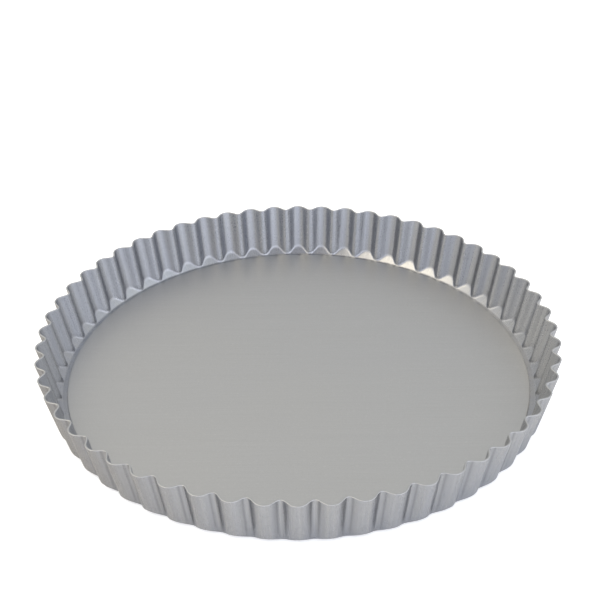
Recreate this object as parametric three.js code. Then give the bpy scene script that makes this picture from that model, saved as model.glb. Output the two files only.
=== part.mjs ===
// Round fluted tart pan with a loose base, in millimetres, +Z up.
//
// Two pressed pieces of anodised sheet:
//   fluted_ring  flared fluted wall with a flat in-turned ledge and a large round hole
//   loose_base   plain flat disc that lies on the ledge and lifts straight out
//
// Origin: centre of the ring, on the plane that the pan stands on.

import * as THREE from 'three';

// ---- driving dimensions ----

const RIM_DIAMETER = 250;      // across the tips of the flutes at the rim
const HEIGHT = 26.7;           // overall height
const SHEET = 0.8;             // sheet thickness of both pieces

const FLUTES = 56;             // number of outward lobes
const FLUTE_DEPTH = 4;         // radial depth at the rim, crest to groove
const LOBE_FLARE = 0.235;      // outward lean of the lobes, mm per mm of height
const GROOVE_FLARE = 0.195;    // lean of the grooves; less, so flutes are shallower at the foot
const SECOND_HARMONIC = -0.1;  // widens the lobes
const THIRD_HARMONIC = -0.025; // steepens the flanks

const HOLE_RADIUS = 101;       // hole inside the ledge
const FOOT_RADIUS = 115.3;     // where the flat underside ends
const FOOT_SLOPE = 0.8;        // rise of the scalloped bevel at the foot, per mm of radius
const MIN_INNER_BEVEL = 0.25;  // least height of the bevel's inner face above the ledge

const BASE_RADIUS = 112.5;
const BASE_GAP = 0.1;          // air between ledge and base, from unevenness of the sheet
const BASE_EDGE = 0.15;        // broken edge of the base

const STEPS_PER_FLUTE = 8;     // facets along one flute
const BASE_SEGMENTS = 112;     // facets around the base

// ---- flute shape ----
// phi is the angle around the pan; angle is the phase within one flute, 0 on the crest.

const FLARE_DIFFERENCE = LOBE_FLARE - GROOVE_FLARE;

const wave = (angle) => Math.cos(angle)
  + SECOND_HARMONIC * Math.cos(2 * angle)
  + THIRD_HARMONIC * Math.cos(3 * angle);
const waveSlope = (angle) => -Math.sin(angle)
  - 2 * SECOND_HARMONIC * Math.sin(2 * angle)
  - 3 * THIRD_HARMONIC * Math.sin(3 * angle);
const WAVE_LOW = wave(Math.PI);
const WAVE_SPAN = wave(0) - WAVE_LOW;

// 1 on the crest of a lobe, 0 at the bottom of a groove
const lobe = (phi) => (wave(FLUTES * phi) - WAVE_LOW) / WAVE_SPAN;
const flare = (phi) => GROOVE_FLARE + FLARE_DIFFERENCE * lobe(phi);
const depth = (z) => FLUTE_DEPTH - FLARE_DIFFERENCE * (HEIGHT - z);

// ---- wall faces ----

// Sheet measured level through the leaning wall
const WALL = SHEET * Math.hypot(1, (LOBE_FLARE + GROOVE_FLARE) / 2);
// Inner face in a groove, at the rim
const GROOVE_RADIUS = RIM_DIAMETER / 2 - WALL - FLUTE_DEPTH;

const innerRadius = (phi, z) =>
  GROOVE_RADIUS - GROOVE_FLARE * (HEIGHT - z) + depth(z) * lobe(phi);
// Change of innerRadius per radian of phi
const innerSlope = (phi, z) => depth(z) * FLUTES * waveSlope(FLUTES * phi) / WAVE_SPAN;

// Point on the outer face, square out from the inner face at phi: [radius, turn from phi]
function outerWall(phi, z) {
  const radius = innerRadius(phi, z);
  const slope = innerSlope(phi, z);
  const length = Math.hypot(radius, slope);
  const radial = radius + WALL * radius / length;
  const across = -WALL * slope / length;
  return [Math.hypot(radial, across), Math.atan2(across, radial)];
}

// ---- bevel at the foot ----

// Foot of the bevel's inner face, one sheet thickness in from its outer face
const INNER_FOOT_RADIUS = FOOT_RADIUS - SHEET * Math.tan(Math.atan(FOOT_SLOPE) / 2);

// Height a bevel climbs to meet a wall that stands the given reach outside its foot
const bevelRise = (phi, reach) => reach / (1 / FOOT_SLOPE - flare(phi));

const outerBevelTop = (phi) => bevelRise(phi, outerWall(phi, 0)[0] - FOOT_RADIUS);

function innerBevelTop(phi) {
  const rise = bevelRise(phi, innerRadius(phi, SHEET) - INNER_FOOT_RADIUS);
  return SHEET + Math.max(MIN_INNER_BEVEL, rise);
}

// ---- fluted ring ----

// Closed section of the ring at angle phi: [radius, height, turn] for each corner
function ringSection(phi) {
  const outerZ = outerBevelTop(phi);
  const innerZ = innerBevelTop(phi);
  const [rimRadius, rimTurn] = outerWall(phi, HEIGHT);
  const [bevelRadius, bevelTurn] = outerWall(phi, outerZ);
  const corners = [
    [HOLE_RADIUS, 0, 0],
    [FOOT_RADIUS, 0, 0],
    [bevelRadius, outerZ, bevelTurn],
    [rimRadius, HEIGHT, rimTurn],
    [innerRadius(phi, HEIGHT), HEIGHT, 0],
    [innerRadius(phi, innerZ), innerZ, 0],
    [INNER_FOOT_RADIUS, SHEET, 0],
    [HOLE_RADIUS, SHEET, 0],
  ];
  return [...corners, corners[0]];
}

// A lathe of the crest section supplies the faces; each vertex then moves to its own section.
// The lathe turns about Y, so the result is tipped up to +Z.
function ringGeometry() {
  const crest = ringSection(0).map(([radius, z]) => new THREE.Vector2(radius, z));
  const segments = FLUTES * STEPS_PER_FLUTE;
  const geometry = new THREE.LatheGeometry(crest, segments);
  const { position } = geometry.attributes;
  for (let i = 0; i <= segments; i++) {
    // The last section repeats the first exactly, which closes the ring
    const phi = (i % segments) * 2 * Math.PI / segments;
    ringSection(phi).forEach(([radius, z, turn], j) => {
      const x = radius * Math.sin(phi + turn);
      const y = radius * Math.cos(phi + turn);
      position.setXYZ(i * crest.length + j, x, z, y);
    });
  }
  geometry.rotateX(Math.PI / 2);
  geometry.computeVertexNormals();
  return geometry;
}

function flutedRing() {
  const material = new THREE.MeshStandardMaterial({
    color: 0xa9abb0, roughness: 0.38, metalness: 1,
  });
  const ring = new THREE.Mesh(ringGeometry(), material);
  ring.name = 'fluted_ring';
  return ring;
}

// ---- loose base ----

function looseBase() {
  // [radius, height], from the centre of the underside to the centre of the top
  const profile = [
    [0, 0],
    [BASE_RADIUS - BASE_EDGE, 0],
    [BASE_RADIUS, BASE_EDGE],
    [BASE_RADIUS, SHEET - BASE_EDGE],
    [BASE_RADIUS - BASE_EDGE, SHEET],
    [0, SHEET],
  ].map(([radius, z]) => new THREE.Vector2(radius, z));
  const geometry = new THREE.LatheGeometry(profile, BASE_SEGMENTS);
  geometry.rotateX(Math.PI / 2);

  const material = new THREE.MeshStandardMaterial({
    color: 0xa8a9a8, roughness: 0.45, metalness: 1,
  });
  const base = new THREE.Mesh(geometry, material);
  base.name = 'loose_base';
  base.position.z = SHEET + BASE_GAP;
  return base;
}

// ---- assembly ----

const pan = new THREE.Group();
pan.name = 'tart_pan';
pan.add(flutedRing(), looseBase());

export default pan;
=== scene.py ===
"""A fluted aluminium ring standing on the floor around a loose flat base disc.

Both are centred on the Z axis. The ring's ledge lies at the bottom with a round hole in it, and
its fluted wall flares upwards to the rim. The camera looks from -Y, so -Y is the front and
+X is on the right. Angles called phi start on a flute's crest at -Y and grow towards +X.
The meshes are worked out in mm, and everything else is in metres.
"""
import math

import bpy
import numpy as np
from mathutils import Matrix, Vector


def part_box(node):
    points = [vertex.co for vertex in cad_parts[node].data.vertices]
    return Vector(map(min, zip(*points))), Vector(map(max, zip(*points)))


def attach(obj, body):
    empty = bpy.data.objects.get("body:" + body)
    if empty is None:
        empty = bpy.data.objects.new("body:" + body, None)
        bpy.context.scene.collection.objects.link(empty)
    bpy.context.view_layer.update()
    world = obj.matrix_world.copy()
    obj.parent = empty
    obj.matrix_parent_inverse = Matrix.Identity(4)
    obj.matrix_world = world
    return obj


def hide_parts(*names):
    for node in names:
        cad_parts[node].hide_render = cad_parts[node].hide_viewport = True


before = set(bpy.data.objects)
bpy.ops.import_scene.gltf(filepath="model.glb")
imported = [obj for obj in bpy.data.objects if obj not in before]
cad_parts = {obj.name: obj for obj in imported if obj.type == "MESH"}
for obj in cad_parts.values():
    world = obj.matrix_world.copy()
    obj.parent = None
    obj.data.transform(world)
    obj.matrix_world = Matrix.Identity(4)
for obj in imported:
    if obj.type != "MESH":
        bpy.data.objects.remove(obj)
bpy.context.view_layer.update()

MM = 0.001

# ---------------------------------------------------------------- dimensions, mm
ring_lo, ring_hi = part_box("fluted_ring")
base_lo, base_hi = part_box("loose_base")
RIM_R = (ring_hi.x - ring_lo.x) / 2 / MM
RIM_Z = ring_hi.z / MM
BASE_R = (base_hi.x - base_lo.x) / 2 / MM
BASE_Z = base_lo.z / MM                     # the disc's under face
SHEET = (base_hi.z - base_lo.z) / MM        # thickness of both pieces

FLUTES = 56
FLUTE_PITCH = 2 * math.pi / FLUTES
FLUTE_DEPTH = 4.0                           # at the rim
LOBE_FLARE, GROOVE_FLARE = 0.235, 0.195     # run outward per mm of rise
HOLE_R = 101.0
FOOT_R = 115.3                              # where the ledge's under face turns up
BEVEL_SLOPE = 0.8                           # rise per mm outward, from the foot to the wall
MIN_BEVEL_RISE = 0.02
SECOND_WAVE, THIRD_WAVE = -0.1, -0.025      # harmonics that shape a flute

WALL_RUN = SHEET * math.hypot(1, (LOBE_FLARE + GROOVE_FLARE) / 2)   # level thickness of the wall
GROOVE_R = RIM_R - WALL_RUN - FLUTE_DEPTH   # inner face in a groove, at the rim
INNER_FOOT_R = FOOT_R - SHEET * math.tan(math.atan(BEVEL_SLOPE) / 2)

# how the ring's inner face is divided
STATIONS = 24                               # around one flute
FOOT_ROUND, ARCH_ROUND = 0.9, 2.0           # arc lengths that round the bevel's lower, upper bend
MIN_BLEND = 0.6                             # shortest change from one rounding to the other
LEDGE_ROWS = np.array([0.22, 0.9, 2.8, 5.6, 8.8, 11.8])     # from the hole, on a ledge of:
LEDGE_SPAN = 13.4
BEND_ROWS = 15
BEND_MARGIN_LOW, BEND_MARGIN_HIGH = 0.1, 0.15
WALL_ROWS = np.array([0.03, 0.08, 0.16, 0.27, 0.40, 0.55, 0.70, 0.84, 0.94])    # shares
RIM_ROWS = np.array([0.35, 0.2])            # below the rim
DENSE_STEPS, OVERRUN = 2600, 3.0            # samples of the corner line, and its extra ends

# the cut edges bulge: share of the way across, height of the bulge
RIM_BULGE = ((0.05, 0.14), (0.2, 0.2), (0.5, 0.2), (0.8, 0.2), (0.95, 0.14))
HOLE_BULGE = ((0.05, 0.14), (0.2, 0.2), (0.5, 0.21), (0.8, 0.2), (0.95, 0.14))
LIFT_START_Z = 6.0                          # the rim is squared from here up
LIFT_LEAN = 0.22                            # run outward per mm of that lift

# unevenness of the pressing
WAVINESS_ORDERS = (2, 3, 5, 8)              # waves around the ring
UNEVENNESS = 0.05                           # spread of the waves and of the flutes
UNEVEN_POWER = 1.5                          # how it grows with height
FIT_R = 118                                 # points beyond this are scaled into the CAD's box

# base disc
DISC_SEGMENTS = 448
DISC_RADII = (8, 22, 40, 58, 76, 92, 104, 109.5, BASE_R - 0.9, BASE_R - 0.3)
DISC_EDGE = (                               # radius, z, from the top down
    (BASE_R - 0.1, BASE_Z + SHEET - 0.06),
    (BASE_R - 0.01, BASE_Z + SHEET - 0.2),
    (BASE_R, BASE_Z + SHEET * 0.5),
    (BASE_R - 0.02, BASE_Z + 0.16),
    (BASE_R - 0.12, BASE_Z + 0.04),
)
DISC_WAVES, DISC_WAVE_SPREAD, DISC_WAVE_LIMIT = 6, 0.012, 0.05


# ---------------------------------------------------------------- shared geometry
def ease(t):
    """smooth step from 0 to 1"""
    t = np.clip(t, 0, 1)
    return t * t * (3 - 2 * t)


def turned(points, angle):
    """points turned about +Z, from -Y towards +X"""
    cos, sin = math.cos(angle), math.sin(angle)
    out = points.copy()
    out[..., 0] = points[..., 0] * cos - points[..., 1] * sin
    out[..., 1] = points[..., 0] * sin + points[..., 1] * cos
    return out


def outward(points):
    """level unit vectors away from the axis"""
    return points[..., :2] / np.linalg.norm(points[..., :2], axis=-1, keepdims=True)


def add_piece(name, points, faces, attributes):
    """a smooth object from points in mm, with float attributes on its points"""
    mesh = bpy.data.meshes.new(name)
    mesh.from_pydata((points * MM).tolist(), [], faces)
    mesh.update()
    # the first face of each piece is on its upper side
    if mesh.polygons[0].normal.z < 0:
        mesh.flip_normals()
    for key, values in attributes.items():
        attribute = mesh.attributes.new(key, "FLOAT", "POINT")
        attribute.data.foreach_set("value", np.array(values, np.float32))
    mesh.polygons.foreach_set("use_smooth", [True] * len(mesh.polygons))
    obj = bpy.data.objects.new(name, mesh)
    bpy.context.scene.collection.objects.link(obj)
    return obj


# ---------------------------------------------------------------- ring mesh
def wave(t):
    return np.cos(t) + SECOND_WAVE * np.cos(2 * t) + THIRD_WAVE * np.cos(3 * t)


def lobe(phi):
    """1 on a crest, 0 in a groove"""
    lowest = wave(math.pi)
    return (wave(FLUTES * phi) - lowest) / (wave(0.0) - lowest)


def inner_radius(phi, z):
    """radius of the wall's inner face"""
    depth = FLUTE_DEPTH - (LOBE_FLARE - GROOVE_FLARE) * (RIM_Z - z)
    return GROOVE_R - GROOVE_FLARE * (RIM_Z - z) + depth * lobe(phi)


def inner_corners(phi):
    """corners of the inner face at phi: hole edge, foot, bevel top, rim"""
    flare = GROOVE_FLARE + (LOBE_FLARE - GROOVE_FLARE) * lobe(phi)
    bevel_rise = (inner_radius(phi, SHEET) - INNER_FOOT_R) / (1 / BEVEL_SLOPE - flare)
    bevel_z = SHEET + max(MIN_BEVEL_RISE, bevel_rise)
    profile = (
        (HOLE_R, SHEET),
        (INNER_FOOT_R, SHEET),
        (inner_radius(phi, bevel_z), bevel_z),
        (inner_radius(phi, RIM_Z), RIM_Z),
    )
    return np.array([(r * math.sin(phi), -r * math.cos(phi), z) for r, z in profile])


def row_places(lengths):
    """arc length of each row, and the arc length it is rounded over"""
    foot, arch, end = lengths[0], lengths[0] + lengths[1], lengths.sum()
    low = foot - FOOT_ROUND / 2 - BEND_MARGIN_LOW
    high = arch + ARCH_ROUND / 2 + BEND_MARGIN_HIGH
    places = np.concatenate([
        LEDGE_ROWS * (low / LEDGE_SPAN),
        np.linspace(low, high, BEND_ROWS),
        WALL_ROWS * (end - high) + high,
        end - RIM_ROWS,
    ])
    blend = ease((places - foot) / max(arch - foot, MIN_BLEND))
    return places, FOOT_ROUND + (ARCH_ROUND - FOOT_ROUND) * blend


def rounded_line(corners):
    """the rows at one station: points of the corner line, each averaged over its width"""
    steps = np.diff(corners, axis=0)
    lengths = np.linalg.norm(steps, axis=1)
    places, widths = row_places(lengths)
    ends = np.concatenate([[0], np.cumsum(lengths)])
    dense = np.linspace(-OVERRUN, ends[-1] + OVERRUN, DENSE_STEPS)
    line = np.stack([np.interp(dense, ends, corners[:, k]) for k in range(3)], axis=1)
    # straight on past both ends
    line += np.minimum(dense, 0)[:, None] * (steps[0] / lengths[0])
    line += np.maximum(dense - ends[-1], 0)[:, None] * (steps[-1] / lengths[-1])
    # averages taken from the line's integral come out smooth
    areas = (line[1:] + line[:-1]) / 2 * np.diff(dense)[:, None]
    integral = np.concatenate([np.zeros((1, 3)), np.cumsum(areas, axis=0)])

    def integral_at(s):
        return np.array([np.interp(s, dense, integral[:, k]) for k in range(3)]).T

    total = integral_at(places + widths / 2) - integral_at(places - widths / 2)
    return total / widths[:, None]


def outer_face(inner):
    """the inner face offset by the sheet, with the rim's cut squared"""
    before = turned(inner[-1:], -FLUTE_PITCH)
    after = turned(inner[:1], FLUTE_PITCH)
    wide = np.concatenate([before, inner, after])
    around = wide[2:] - wide[:-2]
    up = np.empty_like(inner)
    up[:, 1:-1] = inner[:, 2:] - inner[:, :-2]
    up[:, 0] = inner[:, 1] - inner[:, 0]
    up[:, -1] = inner[:, -1] - inner[:, -2]
    # points down under the ledge and outward on the wall
    normal = np.cross(around, up)
    normal /= np.linalg.norm(normal, axis=2, keepdims=True)
    outer = inner + SHEET * normal
    lift = ease((inner[..., 2] - LIFT_START_Z) / (RIM_Z - LIFT_START_Z))
    rise = (inner[:, -1:, 2] - outer[:, -1:, 2]) * lift
    outer[..., 2] += rise
    outer[..., :2] += outward(outer) * (LIFT_LEAN * rise)[..., None]
    return outer


def cut_rows(start, end, bulge, at_rim):
    """rows across a cut edge, bulging up at the rim or towards the axis at the hole"""
    rows = []
    for share, height in bulge:
        row = start + (end - start) * share
        if at_rim:
            row[:, 2] += height
        else:
            row[:, :2] -= outward(row) * height
        rows.append(row)
    return np.array(rows).transpose(1, 0, 2)


def press_unevenly(points, crest):
    """slow waviness and small differences from flute to flute, growing with height"""
    rng = np.random.default_rng(7)
    angle = np.arctan2(points[..., 1], points[..., 0])
    height = np.clip(points[..., 2] / RIM_Z, 0, 1)
    slow = np.zeros_like(angle)
    for order in WAVINESS_ORDERS:
        size = rng.normal(0, UNEVENNESS)
        slow += size * np.cos(order * angle + rng.uniform(0, 6.28))
    per_flute = rng.normal(0, UNEVENNESS, FLUTES)
    station = np.arange(FLUTES * STATIONS)
    past_half = station % STATIONS >= STATIONS / 2
    nearest = (station // STATIONS + past_half) % FLUTES
    shift = (slow + (per_flute[nearest] * crest)[:, None]) * height ** UNEVEN_POWER
    radius = np.linalg.norm(points[..., :2], axis=2, keepdims=True)
    points[..., :2] *= (radius + shift[..., None]) / radius
    # stay inside the CAD's box
    over = np.abs(points[..., :2]).max() / RIM_R
    if over > 1:
        points[..., :2] = np.where(radius > FIT_R, points[..., :2] / over, points[..., :2])


def build_ring():
    phis = [k * FLUTE_PITCH / STATIONS for k in range(STATIONS)]
    inner = np.array([rounded_line(inner_corners(phi)) for phi in phis])
    outer = outer_face(inner)
    rim = cut_rows(inner[:, -1], outer[:, -1], RIM_BULGE, at_rim=True)
    hole = cut_rows(outer[:, 0], inner[:, 0], HOLE_BULGE, at_rim=False)
    flute = np.concatenate([inner, rim, outer[:, ::-1], hole], axis=1)
    parts = [inner.shape[1], rim.shape[1], outer.shape[1], hole.shape[1]]

    points = np.concatenate([turned(flute, k * FLUTE_PITCH) for k in range(FLUTES)])
    stations, loop = points.shape[:2]
    share = np.tile(np.arange(STATIONS) / STATIONS, FLUTES)
    crest = 0.5 + 0.5 * np.cos(2 * np.pi * share)       # 1 on the crest of a lobe
    press_unevenly(points, crest)

    i = np.arange(stations)
    here, there = i * loop, ((i + 1) % stations) * loop
    faces = []
    for j in range(loop):
        k = (j + 1) % loop
        faces.append(np.stack([here + j, there + j, there + k, here + k], 1))
    return add_piece("ring_pressing", points.reshape(-1, 3), np.concatenate(faces).tolist(), {
        "cut": np.tile(np.repeat([0, 1, 0, 1], parts), stations),
        "outside": np.tile(np.repeat([0, 0, 1, 0], parts), stations),
        "crest": np.repeat(crest, loop),
    })


# ---------------------------------------------------------------- base mesh
def build_base():
    top = [(r, BASE_Z + SHEET) for r in DISC_RADII]
    under = [(r, BASE_Z) for r in reversed(DISC_RADII)]
    profile = [*top, *DISC_EDGE, *under]
    rows = len(profile)
    rng = np.random.default_rng(11)
    sizes = rng.normal(0, DISC_WAVE_SPREAD, DISC_WAVES)
    phases = rng.uniform(0, 6.28, DISC_WAVES)

    points = [(0, 0, BASE_Z + SHEET)]
    for i in range(DISC_SEGMENTS):
        angle = 2 * math.pi * i / DISC_SEGMENTS
        # rolled sheet is never quite flat
        warp = sum(sizes[k] * math.cos((k + 1) * angle + phases[k]) for k in range(DISC_WAVES))
        for r, z in profile:
            rise = warp * (r / BASE_R) ** 2
            rise = max(-DISC_WAVE_LIMIT, min(DISC_WAVE_LIMIT, rise))
            points.append((r * math.cos(angle), r * math.sin(angle), z + rise))
    points.append((0, 0, BASE_Z))

    faces = []
    for i in range(DISC_SEGMENTS):
        here = 1 + i * rows
        there = 1 + (i + 1) % DISC_SEGMENTS * rows
        faces.append((0, here, there))
        for j in range(rows - 1):
            faces.append((here + j, here + j + 1, there + j + 1, there + j))
        faces.append((len(points) - 1, there + rows - 1, here + rows - 1))
    on_edge = np.repeat([0, 1, 0], [len(top), len(DISC_EDGE), len(under)])
    cut = [0, *np.tile(on_edge, DISC_SEGMENTS), 0]
    return add_piece("base_disc", np.array(points), faces, {"cut": cut})


# ---------------------------------------------------------------- node helpers
class Graph:
    """lays out the nodes of a tree; a value is a socket, a number or an RGB tuple"""

    def __init__(self, tree):
        self.tree = tree
        tree.nodes.clear()

    def node(self, kind):
        return self.tree.nodes.new(kind)

    def link(self, a, b):
        self.tree.links.new(a, b)

    def put(self, socket, value):
        if isinstance(value, bpy.types.NodeSocket):
            self.link(value, socket)
        elif isinstance(value, tuple):
            socket.default_value = (*value, 1.0)
        else:
            socket.default_value = value

    def math(self, operation, *values, clamp=False):
        node = self.node("ShaderNodeMath")
        node.operation = operation
        node.use_clamp = clamp
        for k, value in enumerate(values):
            self.put(node.inputs[k], value)
        return node.outputs[0]

    def product(self, first, *others):
        for other in others:
            first = self.math("MULTIPLY", first, other)
        return first

    def rest(self, value):
        return self.math("SUBTRACT", 1.0, value)

    def coords(self, kind):
        return self.node("ShaderNodeTexCoord").outputs[kind]

    def is_seen(self):
        """1 where the camera looks straight at it"""
        return self.node("ShaderNodeLightPath").outputs["Is Camera Ray"]

    def split(self, vector):
        node = self.node("ShaderNodeSeparateXYZ")
        self.link(vector, node.inputs[0])
        return node.outputs

    def join(self, x, y, z):
        node = self.node("ShaderNodeCombineXYZ")
        for k, value in enumerate((x, y, z)):
            self.put(node.inputs[k], value)
        return node.outputs[0]

    def scaled(self, x, y, z, by):
        return self.join(*(self.product(value, k) for value, k in zip((x, y, z), by)))

    def noise(self, vector, scale=1.0, detail=3.0, rough=0.5):
        node = self.node("ShaderNodeTexNoise")
        self.link(vector, node.inputs["Vector"])
        node.inputs["Scale"].default_value = scale
        node.inputs["Detail"].default_value = detail
        node.inputs["Roughness"].default_value = rough
        return node.outputs[0]

    def ramp(self, value, over, to=(0.0, 1.0)):
        """maps the range over onto the range to, clamped"""
        node = self.node("ShaderNodeMapRange")
        self.put(node.inputs["Value"], value)
        for key, number in zip(("From Min", "From Max", "To Min", "To Max"), (*over, *to)):
            node.inputs[key].default_value = number
        return node.outputs["Result"]

    def mix(self, share, a, b):
        node = self.node("ShaderNodeMix")
        node.data_type = "RGBA"
        self.put(node.inputs["Factor"], share)
        a_socket, b_socket = (s for s in node.inputs if s.type == "RGBA")
        self.put(a_socket, a)
        self.put(b_socket, b)
        return next(s for s in node.outputs if s.type == "RGBA")

    def layers(self, colour, layers):
        """lays each (share, colour) over the ones before"""
        for share, layer in layers:
            colour = self.mix(share, colour, layer)
        return colour

    def attribute(self, name):
        node = self.node("ShaderNodeAttribute")
        node.attribute_name = name
        return node.outputs["Fac"]

    def bump(self, height, strength, distance, normal=None):
        node = self.node("ShaderNodeBump")
        node.inputs["Strength"].default_value = strength
        node.inputs["Distance"].default_value = distance
        self.link(height, node.inputs["Height"])
        if normal is not None:
            self.link(normal, node.inputs["Normal"])
        return node.outputs[0]


class Surface(Graph):
    """the graph of a new material with one Principled shader"""

    def __init__(self, name):
        self.material = bpy.data.materials.new(name)
        self.material.use_nodes = True
        super().__init__(self.material.node_tree)
        output = self.node("ShaderNodeOutputMaterial")
        self.shader = self.node("ShaderNodeBsdfPrincipled")
        self.link(self.shader.outputs[0], output.inputs["Surface"])

    def set(self, key, value):
        self.put(self.shader.inputs[key], value)


# ---------------------------------------------------------------- materials
# satin aluminium sheet: a touch blue in places
RING_COOL, RING_WARM = (0.428, 0.438, 0.466), (0.448, 0.448, 0.446)
RING_BLUE, RING_DARK = (0.381, 0.396, 0.453), (0.355, 0.363, 0.384)
RING_PALE, RING_CUT_AND_RIM_HIGHLIGHT = (0.499, 0.499, 0.499), (0.490, 0.495, 0.500)
# painted shade colour for the groove and flank lines
RING_PAINTED_SHADE = (0.250, 0.255, 0.270)
# matt aluminium sheet
BASE_COOL, BASE_WARM = (0.505, 0.511, 0.522), (0.526, 0.525, 0.518)
BASE_DARK, BASE_PALE = (0.448, 0.451, 0.451), (0.590, 0.590, 0.586)
BASE_CUT = (0.595, 0.592, 0.581)

DRAW_R = 120.0      # the wall's radius in mm, for the width of its draw marks


def ring_material():
    g = Surface("ring_satin_aluminium")
    pos = g.coords("Object")
    x, y, z = g.split(pos)
    radius = g.math("SQRT", g.math("ADD", g.product(x, x), g.product(y, y)))
    out_x, out_y = g.math("DIVIDE", x, radius), g.math("DIVIDE", y, radius)

    def along(width, length, detail=2.0, rough=0.5, shift=0.0):
        """noise that is narrow around the ring and long up the wall, in mm"""
        turns = DRAW_R / width
        height = g.math("MULTIPLY_ADD", z, 1000.0 / length, shift)
        vector = g.join(g.product(out_x, turns), g.product(out_y, turns), height)
        return g.noise(vector, detail=detail, rough=rough)

    # draw marks run up the wall, and on the ledge they run round with the tool
    fine_draw = along(width=0.45, length=30.0, detail=3.0, rough=0.6)
    wide_draw = along(width=2.6, length=60.0, shift=7.0)
    streak = along(width=1.1, length=80.0, shift=3.0)
    around = g.scaled(radius, out_x, out_y, by=(1700.0, 1.6, 1.6))
    around = g.noise(around, detail=4.0, rough=0.65)
    on_ledge = g.ramp(z, over=(0.0011, 0.0022), to=(1.0, 0.0))
    on_wall = g.rest(on_ledge)
    drawn = g.math("ADD", g.product(around, on_ledge), g.product(fine_draw, on_wall))
    grain = g.noise(pos, scale=2300.0, rough=0.6)
    patches = g.noise(pos, scale=24.0)
    mottle = g.noise(pos, scale=210.0, rough=0.55)
    cut = g.attribute("cut")
    crest = g.attribute("crest")
    outside = g.attribute("outside")
    inside = g.rest(outside)

    # the proud line of each bend gets handled: lobes outside, ridges inside
    proud = g.math("ADD", g.product(crest, outside), g.product(g.rest(crest), inside))
    proud = g.ramp(g.product(proud, on_wall), over=(0.70, 1.0))
    patchy = g.ramp(along(width=2.2, length=9.0, shift=11.0), over=(0.35, 0.70))
    wear = g.product(proud, patchy)

    # share of the way from one crest to the next; 0.5 is mid groove
    angle = g.math("ARCTAN2", x, g.product(y, -1.0))
    flute = g.math("FRACT", g.product(angle, FLUTES / (2 * math.pi)))

    def painted_shade_lines(offset, width, side, heights):
        """a painted shade line up each half of a groove, offset from its middle, in shares of a
        flute
        """
        distance = g.math("ABSOLUTE", g.math("SUBTRACT", flute, 0.5))
        distance = g.math("ABSOLUTE", g.math("SUBTRACT", distance, offset))
        line = g.ramp(distance, over=(0.0, width), to=(1.0, 0.0))
        return g.product(line, side, g.ramp(z, over=heights))

    # painted shade: each groove's flanks shade and reflect each other, so these lines are
    # darkened in colour
    # greyer lines in the outer grooves and on the steep inner flanks, both matched
    groove_painted_shade = painted_shade_lines(offset=0.12, width=0.05, side=outside, heights=(0.001, 0.006))
    flank_painted_shade = painted_shade_lines(offset=0.21, width=0.11, side=inside, heights=(0.002, 0.008))
    streaks = g.ramp(streak, over=(0.40, 0.68), to=(0.0, 0.60))
    g.set("Base Color", g.layers(g.mix(patches, RING_COOL, RING_WARM), (
        (g.ramp(wide_draw, over=(0.30, 0.70), to=(0.0, 0.55)), RING_BLUE),
        (g.product(streaks, on_wall), RING_DARK),
        (g.ramp(drawn, over=(0.35, 0.70), to=(0.0, 0.25)), RING_DARK),
        (g.ramp(mottle, over=(0.35, 0.70), to=(0.0, 0.08)), RING_PALE),
        (g.ramp(grain, over=(0.45, 0.75), to=(0.0, 0.12)), RING_PALE),
        # these numbers are each layer's strength
        # painted light: the whole outer face is painted paler to lift the lit tone of the front
        # lobes
        (g.product(outside, 0.12), RING_PALE),
        (g.product(wear, 0.16), RING_PALE),
        (g.product(groove_painted_shade, 0.60), RING_PAINTED_SHADE),
        (g.product(flank_painted_shade, 0.30), RING_PAINTED_SHADE),
        # the cut edges' own barer colour, lifted to a painted highlight along the rim
        (g.ramp(cut, over=(0.2, 1.0)), RING_CUT_AND_RIM_HIGHLIGHT),
    )))
    g.set("Metallic", 1.0)

    # worn places are a little smoother, cut edges a little rougher
    drawn_rough = g.ramp(drawn, over=(0.25, 0.75), to=(0.25, 0.31))
    grain_rough = g.ramp(grain, over=(0.3, 0.7), to=(-0.02, 0.04))
    rough = g.math("ADD", drawn_rough, grain_rough)
    rough = g.math("SUBTRACT", rough, g.product(wear, 0.05))
    g.set("Roughness", g.math("ADD", rough, g.product(cut, 0.10), clamp=True))

    # the cut edges are filed smooth, so the marks stop short of them
    sheet = g.rest(cut)
    wide_mark, drawn_mark, grain_mark = (
        g.product(g.math("SUBTRACT", mark, 0.5), sheet) for mark in (wide_draw, drawn, grain))
    # drawing has smoothed the grain on the wall to a quarter
    grain_mark = g.product(grain_mark, g.math("MULTIPLY_ADD", on_ledge, 0.75, 0.25))
    normal = g.bump(wide_mark, strength=0.22, distance=0.00010)
    normal = g.bump(drawn_mark, strength=0.15, distance=0.00004, normal=normal)
    normal = g.bump(grain_mark, strength=0.10, distance=0.00003, normal=normal)
    g.set("Normal", normal)
    # the sheen is drawn out up the wall, and outward across the ledge
    g.set("Anisotropic", g.product(sheet, 0.95))
    g.set("Tangent", g.join(g.product(out_x, on_ledge), g.product(out_y, on_ledge), on_wall))
    return g.material


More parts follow.
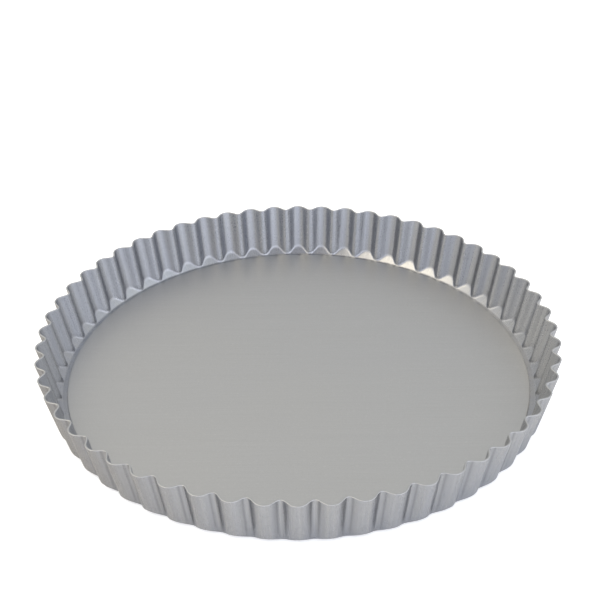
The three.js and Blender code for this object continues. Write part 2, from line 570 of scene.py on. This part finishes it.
def base_material():
    g = Surface("base_matt_aluminium")
    pos = g.coords("Object")
    x, y, z = g.split(pos)
    grain = g.noise(pos, scale=1900.0, rough=0.65)
    fleck = g.noise(pos, scale=900.0, detail=2.0)
    # rolling marks and bands run along X
    rolled = g.noise(g.scaled(x, y, z, by=(22.0, 1500.0, 30.0)), detail=4.0, rough=0.65)
    bands = g.noise(g.scaled(x, y, z, by=(3.0, 130.0, 30.0)), detail=2.0)
    patches = g.noise(pos, scale=15.0)
    cut = g.attribute("cut")
    g.set("Base Color", g.layers(g.mix(patches, BASE_COOL, BASE_WARM), (
        (g.ramp(bands, over=(0.30, 0.70), to=(0.0, 0.12)), BASE_DARK),
        (g.ramp(rolled, over=(0.35, 0.70), to=(0.0, 0.22)), BASE_DARK),
        (g.ramp(grain, over=(0.40, 0.70), to=(0.0, 0.30)), BASE_DARK),
        (g.ramp(fleck, over=(0.62, 0.74), to=(0.0, 0.30)), BASE_PALE),
        (g.ramp(cut, over=(0.2, 1.0), to=(0.0, 0.8)), BASE_CUT),
    )))
    g.set("Metallic", 1.0)
    grain_rough = g.ramp(grain, over=(0.3, 0.7), to=(0.40, 0.50))
    rolled_rough = g.ramp(rolled, over=(0.3, 0.7), to=(-0.03, 0.03))
    g.set("Roughness", g.math("ADD", grain_rough, rolled_rough))
    normal = g.bump(rolled, strength=0.15, distance=0.00003)
    g.set("Normal", g.bump(grain, strength=0.35, distance=0.00004, normal=normal))
    return g.material


# ---------------------------------------------------------------- floor
FLOOR_SIZE, FLOOR_Z = 6.0, -0.0002
FLOOR_LEFT_PAINTED_SHADE, FLOOR_WHITE = (0.69, 0.66, 0.625), (0.93, 0.93, 0.93)
FLOOR_GLOW = 0.45       # seen by the camera only


def floor_material():
    """the camera sees a white sweep; the metal sees a plain floor, duller on the left with
    painted shade
    """
    g = Surface("floor_white")
    seen = g.is_seen()
    # painted shade: the floor is darkened on the left, and only the metal's reflections see it
    right = g.ramp(g.split(g.coords("Object"))[0], over=(-0.13, -0.02))
    g.set("Base Color", g.mix(g.math("MAXIMUM", seen, right), FLOOR_LEFT_PAINTED_SHADE, FLOOR_WHITE))
    g.set("Emission Color", (1.0, 1.0, 1.0))
    g.set("Emission Strength", g.product(seen, FLOOR_GLOW))
    g.set("Roughness", 0.9)
    g.set("Specular IOR Level", 0.0)
    return g.material


def build_floor():
    bpy.ops.mesh.primitive_plane_add(size=FLOOR_SIZE, location=(0, 0, FLOOR_Z))
    floor = bpy.context.object
    floor.name = "floor"
    floor.data.materials.append(floor_material())
    return floor


# ---------------------------------------------------------------- world
# A white tent, as rings of soft panels: height in degrees, then the panels' colours.
# Each ring starts at +X and goes round by +Y, 45 degrees a panel.
# The light comes mostly from low in front and to the right, with a warm panel on the left.
PANELS = (
    (8, ((1.39, 1.39, 1.44), (0.96, 0.95, 0.96), (0.75, 0.75, 0.75), (0.80, 0.80, 0.77),
         (0.98, 0.97, 0.93), (1.14, 1.16, 1.17), (1.84, 1.93, 2.13), (2.08, 2.17, 2.37))),
    (30, ((1.40, 1.44, 1.52), (0.83, 0.85, 0.87), (0.63, 0.65, 0.68), (0.86, 0.84, 0.77),
          (1.40, 1.37, 1.31), (1.20, 1.19, 1.18), (1.62, 1.68, 1.85), (1.98, 2.06, 2.26))),
    (50, ((1.38, 1.47, 1.54), (0.92, 0.96, 0.98), (0.83, 0.81, 0.78), (1.24, 1.20, 1.11),
          (1.91, 1.87, 1.77), (1.00, 0.95, 0.95), (0.93, 0.92, 1.00), (1.15, 1.17, 1.24))),
    (68, ((0.82, 0.88, 0.91), (0.89, 0.91, 0.90), (0.84, 0.82, 0.77), (1.08, 1.03, 0.93),
          (1.08, 1.03, 0.96), (0.33, 0.33, 0.36), (0.27, 0.28, 0.31), (0.33, 0.33, 0.32))),
)
TOP = (0.52, 0.52, 0.52)
# one soft box overhead, left of the camera
BOX_DIRECTION = Vector((-0.50, -0.08, 0.86)).normalized()
BOX_COLOUR = (3.40, 3.12, 2.55)
BOX_FULL = math.cos(math.radians(10))       # full strength within this angle
BOX_EDGE = math.cos(math.radians(24))       # nothing beyond this one
BRIGHTEST = 4.0     # colours are stored as shares of this


def stored(colour):
    return tuple(value / BRIGHTEST for value in colour)


def build_world():
    world = bpy.data.worlds.new("studio")
    bpy.context.scene.world = world
    world.use_nodes = True
    g = Graph(world.node_tree)
    output = g.node("ShaderNodeOutputWorld")
    background = g.node("ShaderNodeBackground")
    g.link(background.outputs[0], output.inputs["Surface"])
    direction = g.coords("Generated")
    x, y, z = g.split(direction)
    turn = g.math("ADD", g.math("DIVIDE", g.math("ARCTAN2", y, x), 2 * math.pi), 0.5)
    height = g.product(g.math("ARCSINE", z), 180 / math.pi)

    def panel_ring(colours):
        """one ring of panels, blended into each other"""
        node = g.node("ShaderNodeValToRGB")
        g.link(turn, node.inputs["Fac"])
        node.color_ramp.interpolation = "LINEAR"
        stops = node.color_ramp.elements
        for k in range(1, 8):
            stops.new(k / 8)
        for k in range(9):
            # the turn runs from -180 degrees, so the first stop is the panel at -X
            stops[k].color = (*stored(colours[(k + 4) % 8]), 1.0)
        return node.outputs["Color"]

    def share(value, start, end):
        return g.math("DIVIDE", g.math("SUBTRACT", value, start), end - start, clamp=True)

    sky = panel_ring(PANELS[0][1])
    for (low, _), (high, colours) in zip(PANELS, PANELS[1:]):
        sky = g.mix(share(height, low, high), sky, panel_ring(colours))
    sky = g.mix(share(height, PANELS[-1][0], 90), sky, stored(TOP))

    facing_box = g.node("ShaderNodeVectorMath")
    facing_box.operation = "DOT_PRODUCT"
    g.link(direction, facing_box.inputs[0])
    facing_box.inputs[1].default_value = BOX_DIRECTION
    in_box = share(facing_box.outputs["Value"], BOX_EDGE, BOX_FULL)
    sky = g.mix(in_box, sky, stored(BOX_COLOUR))
    # the camera sees plain white behind the floor's edge, so low views have no horizon line
    sky = g.mix(g.is_seen(), sky, stored((1, 1, 1)))
    g.link(sky, background.inputs["Color"])
    background.inputs["Strength"].default_value = BRIGHTEST


# ---------------------------------------------------------------- camera
CAMERA_DISTANCE = 0.5838608             # from a point on the axis at this height:
CAMERA_CENTRE_Z = 0.0004
ELEVATION = math.radians(36.2176)
YAW, PITCH, ROLL = math.radians(-0.1728), math.radians(-3.4966), math.radians(-0.6870)
VIEW_TURN = math.radians(0.462)         # lines the flutes up with the view
SENSOR_WIDTH, LENS = 36.0, 70.8744      # mm
LENS_SHIFT = 0.00083333                 # share of the sensor's width, left and up


def build_camera():
    back = np.array([0, -math.cos(ELEVATION), math.sin(ELEVATION)])
    place = CAMERA_DISTANCE * back + np.array([0, 0, CAMERA_CENTRE_Z])
    dip = ELEVATION + PITCH
    forward = turned(np.array([0, math.cos(dip), -math.sin(dip)]), YAW)
    level = np.cross(forward, [0, 0, 1])
    level /= np.linalg.norm(level)
    upright = np.cross(level, forward)
    right = level * math.cos(ROLL) + upright * math.sin(ROLL)
    up = -level * math.sin(ROLL) + upright * math.cos(ROLL)
    columns = [turned(v, VIEW_TURN) for v in (right, up, -forward, place)]

    data = bpy.data.cameras.new("camera")
    data.sensor_width = SENSOR_WIDTH
    data.lens = LENS
    data.shift_x = -LENS_SHIFT
    data.shift_y = LENS_SHIFT
    data.clip_start = 0.01
    camera = bpy.data.objects.new("camera", data)
    scene = bpy.context.scene
    scene.collection.objects.link(camera)
    camera.matrix_world = Matrix((*np.array(columns).T.tolist(), (0, 0, 0, 1)))
    scene.camera = camera


# ---------------------------------------------------------------- assembly
ring = build_ring()
ring.data.materials.append(ring_material())
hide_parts("fluted_ring")
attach(ring, "ring")

base = build_base()
base.data.materials.append(base_material())
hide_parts("loose_base")
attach(base, "base")

floor = build_floor()
build_world()

view = bpy.context.scene.view_settings
view.view_transform = "Standard"
view.look = "None"
view.exposure = 0.0
view.gamma = 1.0

build_camera()
